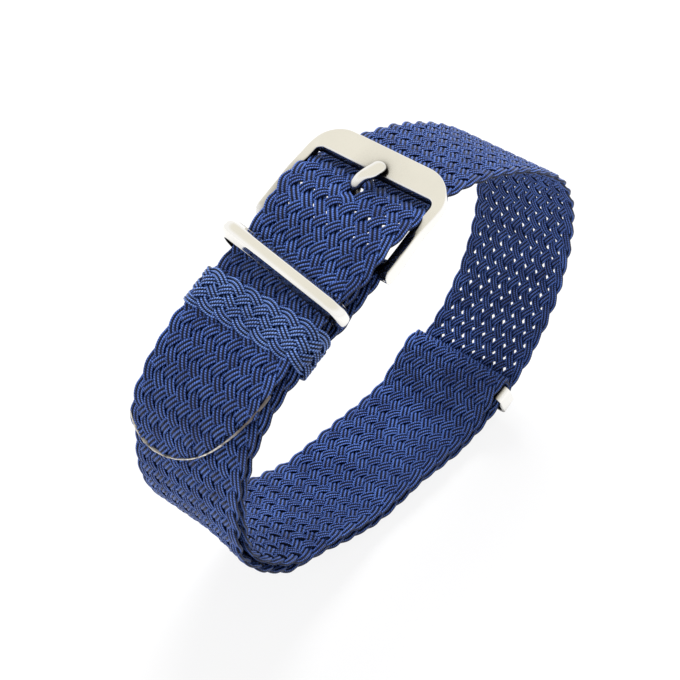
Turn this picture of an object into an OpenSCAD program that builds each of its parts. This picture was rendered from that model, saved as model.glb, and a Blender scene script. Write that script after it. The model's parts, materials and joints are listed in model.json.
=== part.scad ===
// Woven nylon watch strap, closed into a loop, with a pin buckle, a braided keeper and two metal rings.
// Every fabric layer is an offset of one path of tangent arcs and straights seen from the side.
// X runs along the loop, Y across the strap, Z up. The loop lies on its outer face at Z 0.

/* [Band] */
// width of the woven band
band_width = 20; // [18:0.5:22]
// thickness of one layer of the band
band_thickness = 1.3; // [1.1:0.05:1.5]
// straight run from the spring bar to the left bend
first_run = 20.9; // [20:0.1:24]
// inner radius of the left bend
left_radius = 20.3; // [18:0.1:23]
// how far round the left bend the tail reaches, in degrees
tail_reach = 49; // [42:0.5:56]

/* [Buckle] */
// thickness of each arm of the buckle
arm_width = 1.65; // [1.3:0.05:2]
// depth of the front bar, along the band
front_bar_depth = 4.2; // [3.5:0.1:5]
// thickness of the front bar
front_bar_thickness = 1.2; // [1:0.05:1.4]
// diameter of the tongue rod
tongue_diameter = 1.7; // [1.4:0.05:1.8]
// diameter of the spring bar tube
spring_bar_diameter = 1.6; // [1.5:0.05:1.8]

/* [Keepers] */
// length of the braided keeper along the band
keeper_length = 6; // [5:0.1:6.4]
// wall thickness of the braided keeper
keeper_wall = 1; // [0.8:0.05:1.2]
// length of the metal ring keeper along the band
ring_length = 2.9; // [2.4:0.1:3.2]
// thickness of the metal ring keeper
ring_wall = 1.1; // [0.9:0.05:1.15]
// width of the ring keeper over its ends
ring_width = 25; // [24.6:0.1:26.6]
// length of the end ring along the band
end_ring_length = 2.9; // [2.4:0.1:3.2]
// thickness of the end ring
end_ring_wall = 1; // [0.8:0.05:1.1]

/* [Hidden] */
$fn = 128;
W = band_width;
T = band_thickness;
blue = [0.13, 0.24, 0.52];
light_blue = [0.2, 0.34, 0.66];
steel = [0.86, 0.85, 0.82];
thread_blue = [0.1, 0.17, 0.4];
big = 60;

// gaps between layers
layer_gap = 0.15;
inner_gap = 0.1;
bar_r = spring_bar_diameter / 2;
fold_in = bar_r + 0.1;
fold_out = fold_in + T;

// path tools: a pose is [[x, z], heading], a segment is [length, 0] or [radius, turn], left turns are positive
function dir(h) = [cos(h), sin(h)];
function lft(h) = [-sin(h), cos(h)];
function adv(ps, sg) = sg[1] == 0
  ? [ps[0] + sg[0] * dir(ps[1]), ps[1]]
  : [ps[0] + sign(sg[1]) * sg[0] * (lft(ps[1]) - lft(ps[1] + sg[1])), ps[1] + sg[1]];
function walk(ps, segs, i = 0) = i == len(segs) ? [ps] : concat([ps], walk(adv(ps, segs[i]), segs, i + 1));
function near(a) = a - 360 * round(a / 360);
// points of a layer's face along the path: bends become short chords with their corners on the true arc
function chords(sg) = sg[1] == 0 ? 1 : ceil(abs(sg[1]) / (sg[0] < 5 ? 10 : 3));
function part_of(sg, f) = sg[1] == 0 || f == 0 ? [sg[0] * f, 0] : [sg[0], sg[1] * f];
function face_pts(poses, segs, off) = [for (i = [0 : len(segs) - 1], k = [i == 0 ? 0 : 1 : chords(segs[i])])
  let (q = adv(poses[i], part_of(segs[i], k / chords(segs[i])))) q[0] - off * lft(q[1])];
function turned(v) = [for (i = [1 : len(v)]) v[len(v) - i]];
// left arc, straight and right arc that lead from one pose to another
function s_turn(a, b, ra, rb) =
  let (ca = a[0] + ra * lft(a[1]),
       d = b[0] - rb * lft(b[1]) - ca,
       run = sqrt(d * d - pow(ra + rb, 2)),
       h = atan2(d[1], d[0]) + atan2(ra + rb, run))
  [[ra, near(h - a[1])], [run, 0], [rb, near(b[1] - h)]];

// main path, the band's inner face, from the spring bar round the loop and back over the spring bar
head_angle = 27;
start_h = 180 + head_angle;
lower_r = 31;
bottom_r = 65.7;
foot_r = 12;
rise_r = 40;
far_turn = 82;
apex_r = 19.6;
top_r = 60;
dip_r = 14;
land_r = 30;
function route(flat, far) = [[first_run, 0], [left_radius, 96], [lower_r, 25], [bottom_r, 16], [foot_r, 16],
                             [flat, 0], [rise_r, 15], [far, far_turn], [apex_r, 44], [top_r, 41],
                             [dip_r, 32], [land_r, -7]];
flat_i = 5;
far_i = 7;
last_i = 12;
out_dir = -lft(start_h);
// the flat foot and the far side's radius follow, so that the tail lands on the fold behind the spring bar
land_u = 5.26;
open_end = walk([[0, 0], start_h], route(0, 0))[last_i][0];
still_open = land_u * dir(start_h) + (T + layer_gap) * out_dir - open_end;
far_h = walk([[0, 0], start_h], route(0, 0))[far_i][1];
far_way = lft(far_h) - lft(far_h + far_turn);
far_radius = still_open[1] / far_way[1];
flat_run = still_open[0] - far_radius * far_way[0];
main_route = route(flat_run, far_radius);
loose = walk([[0, 0], start_h], main_route);

// the whole strap is moved so that it stands on Z 0 and its length is centred on X 0
tail_r = left_radius + T + layer_gap;
cap_h = start_h + tail_reach - asin(W / 2 / (tail_r + T));
left_x = (loose[1][0] + left_radius * lft(loose[1][1]))[0]
  - max(left_radius + T, (tail_r + T) * cos(max(0, 270 - start_h - tail_reach)));
right_x = (loose[far_i][0] + far_radius * lft(loose[far_i][1]))[0] + far_radius + T;
shift = [-(left_x + right_x) / 2, T - loose[flat_i][0][1]];
main_poses = walk([shift, start_h], main_route);
main_end = main_poses[last_i];
pivot = shift - fold_in * out_dir;

// tail over the fold and round the left bend
tail_run = first_run - (main_end[0] - shift) * dir(start_h);
tail_pose = [main_end[0], start_h];
tail_bend = adv(tail_pose, [tail_run, 0]);
cap_pose = adv(tail_bend, [tail_r, cap_h - start_h]);
cap_turn = 38;
cap_r = W / 2;
seal_width = 0.4;

// the whole main band in one run: sewn end, pocket for the ring keeper, fold over the bar, loop, tail
pocket_run = 9.2;
step_r = 4;
sewn_gap = 0.1;
step_turn = acos(1 - (fold_in - sewn_gap / 2) / step_r);
fold_end_run = 1.2;
sewn_u = -(pocket_run + 2 * step_r * sin(step_turn) + fold_end_run);
band_route = concat([[fold_end_run, 0], [step_r, -step_turn], [step_r, step_turn], [pocket_run, 0],
                     [fold_in, 180]], main_route, [[tail_run, 0], [tail_r, cap_h - start_h], [tail_r, cap_turn]]);
band_poses = walk([pivot + sewn_u * dir(head_angle) + (fold_in - sewn_gap) * lft(head_angle), head_angle],
                  band_route);

// retaining band, inside the main band, from the braided keeper to the end ring
inner_start = 15.8;
lead_turn = 7;
ring_turn = 11;
ring_bar_gap = 0.4;
ring_level = inner_gap + T + ring_bar_gap + end_ring_wall / 2;
ring_fold_in = end_ring_wall / 2 + ring_bar_gap;
ring_lead = 0.6;
ring_past = end_ring_length / 2 + ring_bar_gap - ring_fold_in;
ring_pose = adv(main_poses[far_i], [far_radius, ring_turn]);
inner_pose = [shift + inner_start * dir(start_h) - inner_gap * out_dir, start_h];
inner_route = [[first_run - inner_start, 0], [left_radius - inner_gap, 96], [lower_r - inner_gap, 25],
               [bottom_r - inner_gap, 16], [foot_r - inner_gap, 16], [flat_run, 0],
               [rise_r - inner_gap, lead_turn]];
inner_poses = walk(inner_pose, inner_route);
rise_start = inner_poses[7];
rise_end = [ring_pose[0] + (ring_level + ring_fold_in) * lft(ring_pose[1]) - ring_lead * dir(ring_pose[1]),
            ring_pose[1]];
back_turn = 7.5;
rise_bend = 8;
level_bend = 3;
retaining_route = concat(inner_route, s_turn(rise_start, rise_end, rise_bend, level_bend),
                         [[ring_lead + ring_past, 0], [ring_fold_in, -180], [ring_past, 0],
                          [far_radius - inner_gap - T, -back_turn]]);
retaining_poses = walk(inner_pose, retaining_route);

// levels above the spring bar axis, square to the head of the strap
tail_under = fold_out + layer_gap;
tail_over = tail_under + T;
inner_under = fold_in - inner_gap - T;

// buckle, measured from the spring bar axis along the head of the strap
arm_in = W / 2 + 0.9;
arm_y = arm_in + arm_width;
bar_front = 16.5;
bar_back = bar_front - front_bar_depth;
bar_top = 1.35;
bar_low = bar_top - front_bar_thickness;
corner_out = 5;
corner_in = 1.2;
arm_end_r = 1.35;

// tongue
rod_r = tongue_diameter / 2;
hub_r = 1.9;
hub_width = 2.6;
hub_clear = 0.08;
hub_slot = hub_width + 0.6;
rod_rest = bar_top + 0.05 + rod_r;
rod_start = hub_r - 0.5;
rod_knee = 6.5;
rod_slope = 32;
joint_proud = 0.1;
tip_r = 1.35;
tip_u = bar_back + 0.3;
tip_height = 1.2;
rod_pts = [[rod_start, 0], [rod_knee, 0], [rod_knee + rod_rest / tan(rod_slope), rod_rest], [tip_u, rod_rest]];
slot_back = 3.6;
slot_front = 10.4;
slot_width = tongue_diameter + 0.7;

// spring bar
tube_y = W / 2 + 0.6;
tube_wall_end = 0.8;
pin_r = 0.42;
pin_clear = 0.08;
bore_r = bar_r - 0.2;
flange_r = bore_r - 0.06;
flange_y = tube_y - tube_wall_end - 0.05;
flange_h = 0.7;
guide_r = 0.26;
guide_len = 1;
pin_tip = arm_in + 0.7;
coil_wire = 0.1;
coil_r = bore_r - coil_wire - 0.05;
coil_turns = 9;

// rings and keepers
ring_u = -6.9;
ring_top = tail_over + 0.4;
ring_corner = 2.4;
end_ring_clear = 0.3;
end_ring_corner = 1.6;
keeper_u = -13.7;
keeper_y = W / 2 + 0.4;
keeper_low = inner_under - 0.1;
keeper_high = tail_over + 0.25;
keeper_corner = 0.7;

// stitched bars through the layers
seam_length = 12;
seam_width = 0.9;
seam_proud = 0.12;
front_seam_u = -15;
back_seam_u = -18;
ring_seam_x = -2.7;

// side view to strap: the drawing plane becomes X and Z
module upright() { rotate([90, 0, 0]) children(); }
module at_pose(ps) { translate([ps[0][0], 0, ps[0][1]]) rotate([0, -ps[1], 0]) children(); }
module at_head() { at_pose([pivot, head_angle]) children(); }

// layer of the strap between two outward offsets from a path
module layer(poses, segs, low, high, w = W) {
  upright() linear_extrude(w, center = true)
    polygon(concat(face_pts(poses, segs, low), turned(face_pts(poses, segs, high))));
}

module round_rect(w, h, r) {
  square([w - 2 * r, h], center = true);
  square([w, h - 2 * r], center = true);
  for (x = [-1, 1], y = [-1, 1]) translate([x * (w / 2 - r), y * (h / 2 - r)]) circle(r);
}
// loop across the strap, between two levels, one wall thick
module band_loop(half, low, high, wall, r, long) {
  rotate([90, 0, 90]) linear_extrude(long) translate([0, (low + high) / 2]) difference() {
    round_rect(2 * (half + wall), high - low + 2 * wall, r + wall);
    round_rect(2 * half, high - low, r);
  }
}
// stitched bar: long across the strap, narrow along it
module seam(x, low, high) {
  translate([x, 0, low]) linear_extrude(high - low) {
    square([seam_width, seam_length - seam_width], center = true);
    for (s = [-1, 1]) translate([0, s * (seam_length - seam_width) / 2]) circle(seam_width / 2, $fn = 32);
  }
}
module seam_fold_shape() { at_head() seam(front_seam_u, keeper_low - keeper_wall - seam_proud, fold_out - 0.1); }
module seam_keeper_shape() { at_head() seam(back_seam_u, keeper_low - keeper_wall - seam_proud, fold_out - 0.1); }
module seam_ring_shape() { at_pose(ring_pose) seam(ring_seam_x, inner_gap + 0.3, ring_level + ring_fold_in + T - 0.6); }

// the tail's rounded end, drawn flat on the band and cut square to it
function cap_arc(r) = [for (a = [-90 : 6 : 90]) [r * cos(a), r * sin(a)]];
module on_cap() { at_pose(cap_pose) translate([0, 0, -big / 4]) linear_extrude(big / 2) children(); }
module cap_waste(r) {
  intersection() {
    layer([cap_pose], [[tail_r, cap_turn + 5]], -layer_gap / 2, 2 * T, 1.2 * W);
    on_cap() polygon(concat(cap_arc(r), [[0, W], [W, W], [W, -W], [0, -W]]));
  }
}

module main_band() {
  color(blue) difference() {
    layer(band_poses, band_route, 0, T);
    cap_waste(cap_r - seal_width);
    // gap in the fold for the tongue's hub
    at_head() translate([-2.4, -hub_slot / 2, -fold_out - 0.1])
      cube([2.4 + fold_out + 0.1, hub_slot, 2 * fold_out + 0.2]);
    // slot in the tail for the tongue
    at_head() translate([0, 0, -fold_in]) linear_extrude(6) {
      translate([slot_back + slot_width / 2, -slot_width / 2])
        square([slot_front - slot_back - slot_width, slot_width]);
      for (u = [slot_back + slot_width / 2, slot_front - slot_width / 2])
        translate([u, 0]) circle(slot_width / 2, $fn = 48);
    }
    seam_fold_shape();
    seam_keeper_shape();
  }
}

module tail_end_seal() {
  color(light_blue) intersection() {
    layer([cap_pose], [[tail_r, cap_turn]], 0, T, 1.1 * W);
    on_cap() polygon(concat(cap_arc(cap_r), turned(cap_arc(cap_r - seal_width))));
  }
}

module retaining_band() {
  color(blue) difference() {
    layer(retaining_poses, retaining_route, -T, 0);
    seam_keeper_shape();
    seam_ring_shape();
  }
}

module braided_keeper() {
  color(light_blue) difference() {
    at_head() translate([keeper_u - keeper_length, 0, 0])
      band_loop(keeper_y, keeper_low, keeper_high, keeper_wall, keeper_corner, keeper_length);
    seam_fold_shape();
    seam_keeper_shape();
  }
}

module seam_fold() { color(thread_blue) seam_fold_shape(); }
module seam_keeper() { color(thread_blue) seam_keeper_shape(); }
module seam_end_ring() { color(thread_blue) seam_ring_shape(); }

// turned pieces lie along Y on the spring bar axis
module on_axis(y0) { at_head() translate([0, y0, 0]) rotate([-90, 0, 0]) children(); }

module spring_bar_tube() {
  color(steel) on_axis(0) difference() {
    cylinder(r = bar_r, h = 2 * tube_y, center = true);
    cylinder(r = bore_r, h = 2 * (tube_y - tube_wall_end), center = true);
    cylinder(r = pin_r + pin_clear, h = 2 * tube_y + 1, center = true);
  }
}

module pin() {
  color(steel) {
    translate([0, 0, flange_y]) cylinder(r = pin_r, h = pin_tip - flange_y);
    translate([0, 0, flange_y - flange_h]) cylinder(r = flange_r, h = flange_h);
    translate([0, 0, flange_y - flange_h - guide_len]) cylinder(r = guide_r, h = guide_len);
  }
}
module spring_bar_pin_left() { on_axis(0) pin(); }
module spring_bar_pin_right() { on_axis(0) mirror([0, 0, 1]) pin(); }

// helical spring: rings of points swept along the helix
module spring_bar_spring() {
  half = flange_y - flange_h - 0.02 - coil_wire;
  around = 10;
  sides = 5;
  steps = coil_turns * around;
  function wire(i, k) =
    let (a = 360 * i / around, q = 360 * k / sides, r = coil_r + coil_wire * cos(q))
    [r * cos(a), r * sin(a), -half + 2 * half * i / steps + coil_wire * sin(q)];
  pts = [for (i = [0 : steps], k = [0 : sides - 1]) wire(i, k)];
  function at(i, k) = i * sides + k % sides;
  walls = [for (i = [0 : steps - 1], k = [0 : sides - 1], t = [0, 1])
    t == 0 ? [at(i, k), at(i + 1, k), at(i + 1, k + 1)] : [at(i, k), at(i + 1, k + 1), at(i, k + 1)]];
  caps = [[for (k = [0 : sides - 1]) k], [for (k = [0 : sides - 1]) steps * sides + sides - 1 - k]];
  color(steel) on_axis(0) polyhedron(pts, concat(walls, caps));
}

// rounded corner as points of a polygon
function corner(x, y, r, from) = [for (i = [0 : 9]) [x + r * cos(from + 10 * i), y + r * sin(from + 10 * i)]];
module buckle_plan() {
  x = bar_front - corner_out;
  y = arm_y - corner_out;
  xi = bar_back - corner_in;
  yi = arm_in - corner_in;
  back = -arm_end_r - 1;
  difference() {
    polygon(concat([[back, -arm_y]], corner(x, -y, corner_out, -90), corner(x, y, corner_out, 0), [[back, arm_y]]));
    polygon(concat([[back - 1, -arm_in]], corner(xi, -yi, corner_in, -90), corner(xi, yi, corner_in, 0),
                   [[back - 1, arm_in]]));
  }
}
module buckle_side() {
  edge_r = front_bar_thickness / 2 - 0.02;
  x = bar_front - edge_r;
  polygon(concat([[bar_back - 2, bar_low], [x - 0.1, bar_low]],
                 corner(x, bar_low + edge_r, edge_r, -90), corner(x, bar_top - edge_r, edge_r, 0),
                 corner(0, 0, arm_end_r, 90), corner(0, 0, arm_end_r, 180), [[4, -arm_end_r * 0.75]]));
}
module buckle_frame() {
  color(steel) at_head() difference() {
    intersection() {
      translate([0, 0, -big / 4]) linear_extrude(big / 2) buckle_plan();
      rotate([90, 0, 0]) translate([0, 0, -big / 2]) linear_extrude(big) buckle_side();
    }
    for (s = [0, 1]) mirror([0, s, 0]) translate([0, arm_in - 0.5, 0]) rotate([-90, 0, 0])
      cylinder(r = pin_r + pin_clear, h = 0.5 + 1);
  }
}

// round rod between two points of the head plane
module rod(a, b, more = 0) {
  d = b - a;
  translate([a[0], 0, a[1]]) rotate([0, 90 - atan2(d[1], d[0]), 0]) cylinder(r = rod_r, h = norm(d) + more, $fn = 64);
}
module buckle_tongue() {
  color(steel) at_head() difference() {
    union() {
      rotate([90, 0, 0]) cylinder(r = hub_r, h = hub_width, center = true);
      for (i = [0 : 2]) rod(rod_pts[i], rod_pts[i + 1]);
      for (i = [1 : 2]) translate([rod_pts[i][0], 0, rod_pts[i][1]]) sphere(rod_r + joint_proud, $fn = 64);
      intersection() {
        rod(rod_pts[2], rod_pts[3], tip_r + 0.5);
        translate([tip_u, 0, rod_rest - 2 * rod_r]) cylinder(r = tip_r, h = 4 * rod_r);
      }
      translate([tip_u, 0, rod_rest - rod_r + 0.05]) cylinder(r = tip_r, h = tip_height);
    }
    rotate([90, 0, 0]) cylinder(r = bar_r + hub_clear, h = hub_width + 1, center = true);
  }
}

module ring_keeper() {
  color(steel) at_head() translate([ring_u - ring_length / 2, 0, 0])
    band_loop(ring_width / 2 - ring_wall, ring_wall / 2, ring_top, ring_wall, ring_corner - ring_wall, ring_length);
}

module end_ring() {
  color(steel) at_pose(ring_pose) translate([-end_ring_length / 2, 0, 0])
    band_loop(W / 2 + end_ring_clear, -T - 0.5, ring_level - end_ring_wall / 2, end_ring_wall,
              end_ring_corner - end_ring_wall, end_ring_length);
}

main_band();
tail_end_seal();
retaining_band();
braided_keeper();
seam_fold();
seam_keeper();
seam_end_ring();
spring_bar_tube();
spring_bar_pin_left();
spring_bar_pin_right();
spring_bar_spring();
buckle_frame();
buckle_tongue();
ring_keeper();
end_ring();
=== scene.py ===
"""Braided nylon watch strap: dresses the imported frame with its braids, its steel and the studio."""

import json
import math

import bpy
import numpy as np
from mathutils import Matrix, Vector

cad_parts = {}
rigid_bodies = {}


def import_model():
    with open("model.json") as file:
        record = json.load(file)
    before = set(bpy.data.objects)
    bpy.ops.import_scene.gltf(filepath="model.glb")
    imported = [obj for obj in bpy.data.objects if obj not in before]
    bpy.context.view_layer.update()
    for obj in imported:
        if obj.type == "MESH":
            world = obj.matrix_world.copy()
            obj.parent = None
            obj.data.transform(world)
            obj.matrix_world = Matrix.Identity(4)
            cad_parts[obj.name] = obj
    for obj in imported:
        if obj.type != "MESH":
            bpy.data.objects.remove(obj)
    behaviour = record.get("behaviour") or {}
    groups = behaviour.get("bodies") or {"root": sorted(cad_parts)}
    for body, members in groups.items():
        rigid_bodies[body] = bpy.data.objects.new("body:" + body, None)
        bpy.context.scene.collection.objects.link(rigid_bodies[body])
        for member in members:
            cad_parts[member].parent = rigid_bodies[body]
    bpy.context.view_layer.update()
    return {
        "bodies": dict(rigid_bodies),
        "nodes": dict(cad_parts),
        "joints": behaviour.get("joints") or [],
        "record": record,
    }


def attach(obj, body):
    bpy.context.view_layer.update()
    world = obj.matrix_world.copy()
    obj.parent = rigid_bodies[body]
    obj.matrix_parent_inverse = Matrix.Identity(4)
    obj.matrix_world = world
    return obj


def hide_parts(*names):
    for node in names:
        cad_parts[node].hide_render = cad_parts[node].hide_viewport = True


# Lengths are in millimetres, but in metres for the studio and the materials. Angles are in degrees.
MM = 0.001

# The bands' paths, as in part.scad. A turn is (radius, degrees), or (length, 0) where it is straight.
BAND_THICKNESS = 1.3
LAYER_GAP = 0.15
INNER_GAP = 0.1
SEWN_GAP = 0.1
FIRST_RUN = 20.9
LEFT_RADIUS = 20.3
RISE_RADIUS = 40
# These two close the loop, and part.scad works them out.
FLAT_RUN = 17.3375
FAR_RADIUS = 29.0014
BENDS_TO_FOOT = [
    (LEFT_RADIUS, 96),  # left bend
    (31, 25),  # lower left
    (65.7, 16),  # bottom
    (12, 16),  # into the foot
    (FLAT_RUN, 0),  # foot
]
MAIN_TURNS = [(FIRST_RUN, 0)] + BENDS_TO_FOOT + [
    (RISE_RADIUS, 15),  # rise from the foot
    (FAR_RADIUS, 82),  # far side
    (19.6, 44),  # apex
    (60, 41),  # top
    (14, 32),  # dip towards the buckle
    (30, -7),  # landing on the fold
]

# The sewn end, the pocket for the ring keeper, and the fold over the spring bar: about 20 mm of the band.
FOLD_RADIUS = 0.9
POCKET_RUN = 9.2
SEWN_RUN = 1.2
SEWN_LENGTH = 20
STEP_RADIUS = 4.0
STEP_TURN = math.degrees(math.acos(1 - (FOLD_RADIUS - SEWN_GAP / 2) / STEP_RADIUS))
FOLD_TURNS = [
    (SEWN_RUN, 0),
    (STEP_RADIUS, -STEP_TURN),
    (STEP_RADIUS, STEP_TURN),
    (POCKET_RUN, 0),
    (FOLD_RADIUS, 180),
]

# The tail, over the fold and round the left bend.
TAIL_RADIUS = LEFT_RADIUS + BAND_THICKNESS + LAYER_GAP
TIP_TURN = 38
TAIL_TURNS = [(15.64, 0), (TAIL_RADIUS, 23.289), (TAIL_RADIUS, TIP_TURN)]

# The retaining band: where it starts behind the spring bar, its rise to the end ring, and its way back.
INNER_START = 15.8
LEAD_TURN = 7
RING_RISE = [(8, 32.83), (5.208, 0), (3, -13.83), (1.55, 0)]
RING_FOLD_RADIUS = 0.9
RING_PAST_RUN = 0.95
BACK_TURN = 7.5

# A path's points are at most this far apart, by degrees on an arc and by length on a straight.
ARC_STEP = 1.5
STRAIGHT_STEP = 3.0

# The head's frame starts at the spring bar and goes along the band. The end ring's starts at the ring.
PIVOT = (-10.4697, 56.4388)
HEAD_ANGLE = 27.0
RING_PLACE = (25.1735, 4.6099)
RING_ANGLE = 26.0

# Braids. A strand is a bundle of three twisted cords, and a row is one crossing long.
BAND_STRANDS = 18
BAND_WIDTH = 20.7
BAND_ROW = 1.83
KEEPER_STRANDS = 6
KEEPER_WIDTH = 6.9
KEEPER_ROWS = 30
SAMPLES_PER_ROW = 6
CORD_RADIUS = 0.25
CORD_PITCH = 0.63
OPEN_CORD_PITCH = 0.51
KEEPER_CORD_PITCH = 0.52
STRAND_RISE = 0.27
CROSSING_FLATNESS = 0.6
EDGE_ROUNDING = 1.6
KEEPER_EDGE_ROUNDING = 1.2
KEEPER_SLANT = 1.15
MAIN_PIECES = 4
RETAINING_PIECES = 2

# How far strands stray sideways, how fast they do so from row to row, and how much they differ.
STRAY = 0.07
STRAY_RATE = 1.9
STRAY_SPREAD = 7.0
STRAND_SEED = 7

# Spans along the main band: from, to, and how softly both ends fade. The tail's counts from its tip.
OPEN_SPAN = (122, 196, 8)
EDGE_LEAN_SPAN = (74, 86, 10)
EDGE_RISE_SPAN = (100, 122, 12)
TAIL_LIFT_SPAN = (-13, 2, 8)
# How far the near edge leans out and rises, how wide that edge is, and how it grows towards it.
EDGE_LEAN = 1.3
EDGE_RISE = 1.2
EDGE_REACH = 10
EDGE_CURVE = 1.5
TAIL_LIFT = 0.95
# Past this length the main band is the outer layer at the head.
OUTER_LAYER = 160
# Spans along the head, and how the outer layer lifts, widens and shifts there.
FRONT_LIFT_SPAN = (6, 8, 3)
WIDE_SPAN = (-3, 8, 4)
WINDOW_SPAN = (5, 11, 4)
FRONT_LIFT = 0.35
WIDER = 0.05
WINDOW_WIDER = 0.06
WIDE_ASIDE = 0.75

# The openings round the hub and the rod: half their length and half their width.
FOLD_EYE = (5.0, 1.9)
ROD_EYE = (1.7, 1.15)
# The eyes are looked for this far from the band's start and tip, the rod's between these places of the head.
FOLD_EYE_SEARCH = 40
ROD_EYE_SEARCH = 60
ROD_EYE_FROM = 4
ROD_EYE_TO = 12
EYE_SEARCH_STEP = 0.05

# The tail's cut end: half sizes of its oval, how far it is set back, its skew, and its melted bead.
TIP_LENGTH = 10.2
TIP_HALF_WIDTH = 10.3
TIP_BACK = 1.1
TIP_SKEW = 0.5
TIP_SPARE = 14
BEAD_FROM = -88
BEAD_TO = 76
BEAD_POINTS = 160
BEAD_HALF_WIDTH = 0.12
BEAD_HALF_HEIGHT = 0.34
BEAD_RISE = 0.25
BEAD_UNEVEN = 0.12
BEAD_OUT = 0.1
BEAD_WIDER = 1.01
BEAD_STEP = 0.25

# The braided keeper, as a loop in the head's frame.
KEEPER_MIDDLE = -15.9
KEEPER_LOW = -1.1
KEEPER_HIGH = 4.4
KEEPER_HALF_WIDTH = 11.0
KEEPER_CORNER = 2.2

# Seams: each one's piece, node and place, the levels between which its thread runs, and its thread loops.
HEAD_SEAMS = {"stitches_fold": ("seam_fold", -15), "stitches_keeper": ("seam_keeper", -18)}
HEAD_SEAM_LEVELS = (-1.72, 2.1)
RING_SEAM = -2.7
RING_SEAM_LEVELS = (0.4, 3.9)
STITCHES = 9
STITCH_PITCH = 1.3
STITCH_HALF_LENGTH = 0.42
STITCH_POINTS = 24
STITCH_LEAN = 0.1
STITCH_SQUARENESS = 0.4
STITCH_STEP = 0.3
THREAD_RADIUS = 0.16

# The buckle frame: its outline seen from above, and its levels along the head, from the spring bar.
ARM_IN = 10.9
ARM_OUT = 12.55
BAR_BACK = 12.3
BAR_FRONT = 16.5
CORNER_IN = 1.2
CORNER_OUT = 5.4
ARM_END = 1.35
FRAME_TOP = [(0, ARM_END), (2, 1.25), (4, 1.15), (7, 1.1), (10, 1.15), (11.5, 1.25), (13, 1.35)]
FRAME_BOTTOM = [(0, -ARM_END), (2, -1.3), (5, -1.15), (9, -0.9), (11, -0.45), (13, 0.15)]
EDGE_RADIUS = 0.26
EDGE_SHARE = 0.45
LEAST_HEIGHT = 0.02
# Where an arm's points start past the spring bar, and how far before the corner they end.
ARM_START = 0.6
ARM_SPARE = 0.3
# How many points each stretch of the outline has: an arm's round end, the arm, a corner and the front bar.
REAR_POINTS = 8
ARM_POINTS = 22
CORNER_POINTS = 21
BAR_POINTS = 24
# The inner wall's lean and the shift sideways, both growing towards the front bar.
WALL_LEAN = [(12.5, 0), (14, 0.65)]
FRONT_ASIDE = 0.7
ASIDE_FROM = 6
ASIDE_RUN = 7

# The tongue: its rod's middle line, and where the rod flattens, skews and ends.
ROD_LINE = [
    (0.9, 0), (3, 0), (5.2, 0), (7.2, 0.1), (8.35, 0.95), (9.2, 1.95), (10.4, 2.42),
    (12.2, 2.2), (13.2, 1.98), (13.85, 1.9),
]
ROD_POINTS = 90
ROD_HALF_WIDTH = 0.95
ROD_HALF_HEIGHT = 0.85
ROD_END = 13.0
ROD_END_RUN = 0.9
ROD_FLAT_FROM = 10.2
ROD_FLAT_RUN = 1.6
ROD_FLAT_WIDER = 0.25
ROD_FLAT_LOWER = 0.3
ROD_TIP_SHARE = 0.05
ROD_ASIDE = 0.5
ROD_ASIDE_RUN = 6
ROD_SKEW = 1.6
ROD_SKEW_FROM = 8.2
ROD_SKEW_RUN = 5
HUB_RADIUS = 1.9
HUB_BORE = 0.84
HUB_WIDTH = 2.6
HUB_CORNER = 0.32
HUB_POINTS = 48

# The metal rings. The ring keeper lies turned, leaning and a little aside in its fold.
RING_KEEPER = {
    "low": -0.8, "high": 5.5, "half_width": 12.6, "corner": 3.0, "wall": 1.4,
    "middle": -7.9, "aside": 0.6, "yaw": 7.5, "lean": 0.05,
}
END_RING = {"low": -2.8, "high": 2.8, "half_width": 11.1, "corner": 1.3, "wall": 0.7}
END_RING_LENGTH = 2.9
END_RING_EDGE = 0.15
# Points of a rounded loop: their longest gap on a straight, and the steps in each corner.
LOOP_STEP = 0.5
LOOP_CORNER_STEPS = 12
RING_CORNER_STEPS = 14
# Shares of the way along the flat sides of a rounded section where it has more points.
FLAT_SHARES = (0.15, 0.32, 0.5, 0.68, 0.85)

# Nylon: the length of one ply's twist, cords seen on the way round a strand, and colours from dark to light:
# painted shade in the grooves between cords, the yarn's own blue, and painted highlight on the plies.
TWIST_PITCH = 0.34
CORDS_ROUND = 6.0
BAND_SHADE_COLOUR_HIGHLIGHT = ((3, 7, 26), (26, 42, 96), (90, 122, 198))
KEEPER_SHADE_COLOUR_HIGHLIGHT = ((2, 8, 28), (27, 50, 108), (124, 156, 222))
THREAD_SHADE_COLOUR_HIGHLIGHT = ((6, 10, 30), (22, 34, 74), (44, 62, 116))
SHEEN_COLOUR = (120, 155, 240)
STEEL_COLOUR = (250, 248, 243)
SPRING_COLOUR = (170, 170, 172)
# Painted reflection: the dark brown given to the steel where it nears the band, as if it mirrored the nylon
# there.
PAINTED_REFLECTION_COLOUR = (52, 47, 44)

# The studio, in metres: the camera from the photograph's perspective, and the lights.
CAMERA_PLACE = (-0.14343, -0.11686, 0.19665)
CAMERA_AIM = (0.5637, 0.4835, -0.6697)
CAMERA_FIELD = 24.567
LIGHT_AIM = (0, 0, 0.03)
LIGHT_SIZE = 0.5
KEY_PLACE = (0.4, 0.3, 0.6)
KEY_POWER = 11.5
FILL_PLACE = (-0.6, -0.2, 0.35)
FILL_POWER = 2.6
SKY_LIGHT = 0.42
FLOOR_HALF_SIZE = 3.0
FLOOR_DROP = 0.0002
FLOOR_GLOW = 0.86
CEILING_COLOUR = (240, 237, 226)
WHITE = (1, 1, 1, 1)


# Frames and curves


def to_world(origin, angle, along, up, across):
    """A point of a side frame as world millimetres, across being Y."""
    cos, sin = math.cos(math.radians(angle)), math.sin(math.radians(angle))
    along, up, across = np.broadcast_arrays(along, up, across)
    return np.stack([origin[0] + along * cos - up * sin, across, origin[1] + along * sin + up * cos], axis=-1)


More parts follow.
